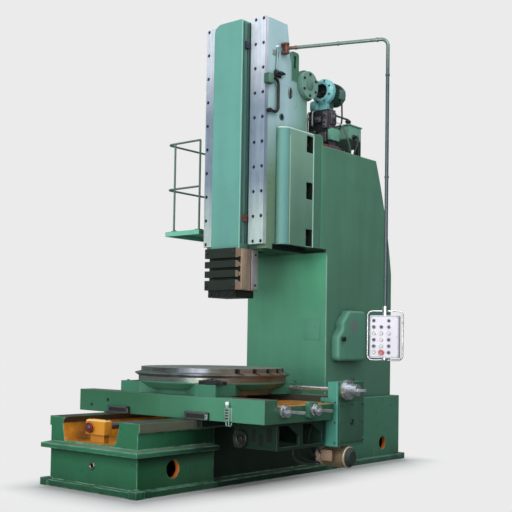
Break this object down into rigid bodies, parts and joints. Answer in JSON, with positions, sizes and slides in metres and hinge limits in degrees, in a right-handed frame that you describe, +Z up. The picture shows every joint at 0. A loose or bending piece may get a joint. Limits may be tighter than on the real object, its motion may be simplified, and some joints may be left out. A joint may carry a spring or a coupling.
{
  "type": "slotting machine",
  "caption": "Hydraulic slotting machine: long bed, column with tilting head and vertical ram, rotary table on a compound slide, service platform and swinging control pendant.",
  "frame": {"origin": "on the floor, at the middle of the bed's foot, which is the centre of its foundation bolts", "axes": "+Z up, +X towards the operator's cranks, +Y from the table towards the column"},
  "size_m": [2.9231, 4.589, 4.99],
  "materials": {
    "green_paint": "gloss machine enamel",
    "ram_paint": "gloss machine enamel",
    "teal_paint": "gloss enamel",
    "rail_paint": "satin paint",
    "motor_paint": "satin paint",
    "arm_paint": "satin paint",
    "ground_steel": "ground",
    "dial_chrome": "polished",
    "dark_iron": "oiled",
    "bronze": "turned",
    "hose_rubber": "matt",
    "wiper_rubber": "matt",
    "panel_white": "satin",
    "button_dark": "gloss",
    "button_light": "gloss",
    "button_red": "gloss"
  },
  "bodies": {
    "frame": {"bed": "green_paint", "screw_bracket": "dark_iron", "feed_screw": "ground_steel", "column": "green_paint", "trunnion_pins": "ground_steel", "side_cover": "green_paint", "rear_cover": "green_paint", "oil_tank": "green_paint", "pump_block": "dark_iron", "pump_motor": "teal_paint", "oil_pipes": "ground_steel", "service_platform": "green_paint", "guard_rail": "rail_paint"},
    "head": {"ram_head": "green_paint", "gib_left": "ground_steel", "gib_right": "ground_steel", "hub_covers": "green_paint", "ram_cylinder": "ground_steel", "switch_box": "green_paint", "head_hose": "hose_rubber"},
    "ram": {"ram": "ram_paint", "tool_head": "dark_iron", "tool_clamp": "dark_iron", "piston_rod": "ground_steel", "trip_dogs": "dark_iron"},
    "saddle": {"saddle": "green_paint", "way_wipers": "wiper_rubber", "apron_bracket": "green_paint", "feed_gearbox": "green_paint", "feed_motor": "motor_paint", "cross_bracket": "green_paint"},
    "feed_nut": {"feed_nut": "bronze"},
    "feed_crank": {"feed_crank": "dial_chrome"},
    "cross_screw": {"cross_screw": "dial_chrome"},
    "feed_shaft": {"feed_shaft": "dial_chrome"},
    "cross_slide": {"cross_slide": "green_paint", "cross_nut": "bronze", "bearing_ring": "ground_steel", "index_block": "ground_steel"},
    "worm": {"worm": "ground_steel"},
    "table": {"rotary_table": "ground_steel", "worm_wheel": "bronze"},
    "pendant_arm": {"pendant_arm": "arm_paint"},
    "pendant": {"pendant_box": "panel_white", "pendant_handle": "dial_chrome"},
    "button_1_1": {"button_1_1": "button_dark"},
    "button_1_2": {"button_1_2": "button_dark"},
    "button_1_3": {"button_1_3": "button_dark"},
    "button_2_1": {"button_2_1": "button_light"},
    "button_2_2": {"button_2_2": "button_light"},
    "button_2_3": {"button_2_3": "button_light"},
    "button_3_1": {"button_3_1": "button_dark"},
    "button_3_2": {"button_3_2": "button_light"},
    "button_3_3": {"button_3_3": "button_dark"},
    "button_4_1": {"button_4_1": "button_dark"},
    "button_4_2": {"button_4_2": "button_light"},
    "button_4_3": {"button_4_3": "button_dark"},
    "button_5_1": {"button_5_1": "button_light"},
    "stop_button": {"stop_button": "button_red"},
    "button_5_3": {"button_5_3": "button_dark"}
  },
  "joints": [
    {"name": "head_tilt", "type": "hinge", "parent": "frame", "child": "head", "pos_m": [0, 0.15, 2.76], "axis": [1, 0, 0], "range_deg": [0, 8]},
    {"name": "ram_stroke", "type": "slide", "parent": "head", "child": "ram", "axis": [0, 0, 1], "range_m": [-0.6, 0.4]},
    {"name": "saddle_feed", "type": "slide", "parent": "frame", "child": "saddle", "axis": [0, 1, 0], "range_m": [-0.55, 0.55]},
    {"name": "feed_nut_turn", "type": "hinge", "parent": "saddle", "child": "feed_nut", "pos_m": [-0.075, -0.796, 0.59], "axis": [0, 1, 0], "range_deg": [-12380, 12380]},
    {"name": "feed_crank_turn", "type": "hinge", "parent": "saddle", "child": "feed_crank", "pos_m": [1.473, -1.213, 0.786], "axis": [1, 0, 0], "range_deg": [-12380, 12380]},
    {"name": "cross_feed", "type": "slide", "parent": "saddle", "child": "cross_slide", "axis": [1, 0, 0], "range_m": [-0.55, 0.25]},
    {"name": "cross_screw_turn", "type": "hinge", "parent": "saddle", "child": "cross_screw", "pos_m": [1.473, -0.796, 0.786], "axis": [1, 0, 0], "range_deg": [-12380, 12380]},
    {"name": "table_turn", "type": "hinge", "parent": "cross_slide", "child": "table", "pos_m": [0.21, -0.796, 1.07], "axis": [0, 0, 1], "continuous": true},
    {"name": "worm_turn", "type": "hinge", "parent": "cross_slide", "child": "worm", "pos_m": [0.21, -0.29, 0.965], "axis": [1, 0, 0], "continuous": true},
    {"name": "feed_shaft_turn", "type": "hinge", "parent": "saddle", "child": "feed_shaft", "pos_m": [1.5, -0.29, 0.965], "axis": [1, 0, 0], "continuous": true},
    {"name": "pendant_swing", "type": "hinge", "parent": "head", "child": "pendant_arm", "pos_m": [0.48, 0.021, 4.691], "axis": [0, 0, 1], "range_deg": [-34, 39]},
    {"name": "pendant_swivel", "type": "hinge", "parent": "pendant_arm", "child": "pendant", "pos_m": [1.55595, 0.41261, 1.8], "axis": [0, 0, 1], "range_deg": [-90, 90]},
    {"name": "button_1_1_press", "type": "slide", "parent": "pendant", "child": "button_1_1", "axis": [-0.342, 0.9397, 0], "range_m": [0, 0.006], "stiffness_N_per_m": 500, "springref_m": -0.002},
    {"name": "button_1_2_press", "type": "slide", "parent": "pendant", "child": "button_1_2", "axis": [-0.342, 0.9397, 0], "range_m": [0, 0.006], "stiffness_N_per_m": 500, "springref_m": -0.002},
    {"name": "button_1_3_press", "type": "slide", "parent": "pendant", "child": "button_1_3", "axis": [-0.342, 0.9397, 0], "range_m": [0, 0.006], "stiffness_N_per_m": 500, "springref_m": -0.002},
    {"name": "button_2_1_press", "type": "slide", "parent": "pendant", "child": "button_2_1", "axis": [-0.342, 0.9397, 0], "range_m": [0, 0.006], "stiffness_N_per_m": 500, "springref_m": -0.002},
    {"name": "button_2_2_press", "type": "slide", "parent": "pendant", "child": "button_2_2", "axis": [-0.342, 0.9397, 0], "range_m": [0, 0.006], "stiffness_N_per_m": 500, "springref_m": -0.002},
    {"name": "button_2_3_press", "type": "slide", "parent": "pendant", "child": "button_2_3", "axis": [-0.342, 0.9397, 0], "range_m": [0, 0.006], "stiffness_N_per_m": 500, "springref_m": -0.002},
    {"name": "button_3_1_press", "type": "slide", "parent": "pendant", "child": "button_3_1", "axis": [-0.342, 0.9397, 0], "range_m": [0, 0.006], "stiffness_N_per_m": 500, "springref_m": -0.002},
    {"name": "button_3_2_press", "type": "slide", "parent": "pendant", "child": "button_3_2", "axis": [-0.342, 0.9397, 0], "range_m": [0, 0.006], "stiffness_N_per_m": 500, "springref_m": -0.002},
    {"name": "button_3_3_press", "type": "slide", "parent": "pendant", "child": "button_3_3", "axis": [-0.342, 0.9397, 0], "range_m": [0, 0.006], "stiffness_N_per_m": 500, "springref_m": -0.002},
    {"name": "button_4_1_press", "type": "slide", "parent": "pendant", "child": "button_4_1", "axis": [-0.342, 0.9397, 0], "range_m": [0, 0.006], "stiffness_N_per_m": 500, "springref_m": -0.002},
    {"name": "button_4_2_press", "type": "slide", "parent": "pendant", "child": "button_4_2", "axis": [-0.342, 0.9397, 0], "range_m": [0, 0.006], "stiffness_N_per_m": 500, "springref_m": -0.002},
    {"name": "button_4_3_press", "type": "slide", "parent": "pendant", "child": "button_4_3", "axis": [-0.342, 0.9397, 0], "range_m": [0, 0.006], "stiffness_N_per_m": 500, "springref_m": -0.002},
    {"name": "button_5_1_press", "type": "slide", "parent": "pendant", "child": "button_5_1", "axis": [-0.342, 0.9397, 0], "range_m": [0, 0.006], "stiffness_N_per_m": 500, "springref_m": -0.002},
    {"name": "stop_button_press", "type": "slide", "parent": "pendant", "child": "stop_button", "axis": [-0.342, 0.9397, 0], "range_m": [0, 0.006], "stiffness_N_per_m": 500, "springref_m": -0.002},
    {"name": "button_5_3_press", "type": "slide", "parent": "pendant", "child": "button_5_3", "axis": [-0.342, 0.9397, 0], "range_m": [0, 0.006], "stiffness_N_per_m": 500, "springref_m": -0.002}
  ],
  "couplings": [
    {"joint": "feed_nut_turn", "follows": "saddle_feed", "rad_per_m": 392.7},
    {"joint": "feed_crank_turn", "follows": "saddle_feed", "rad_per_m": 392.7},
    {"joint": "cross_screw_turn", "follows": "cross_feed", "rad_per_m": 392.7},
    {"joint": "worm_turn", "follows": "table_turn", "ratio": 90},
    {"joint": "feed_shaft_turn", "follows": "table_turn", "ratio": 90}
  ]
}
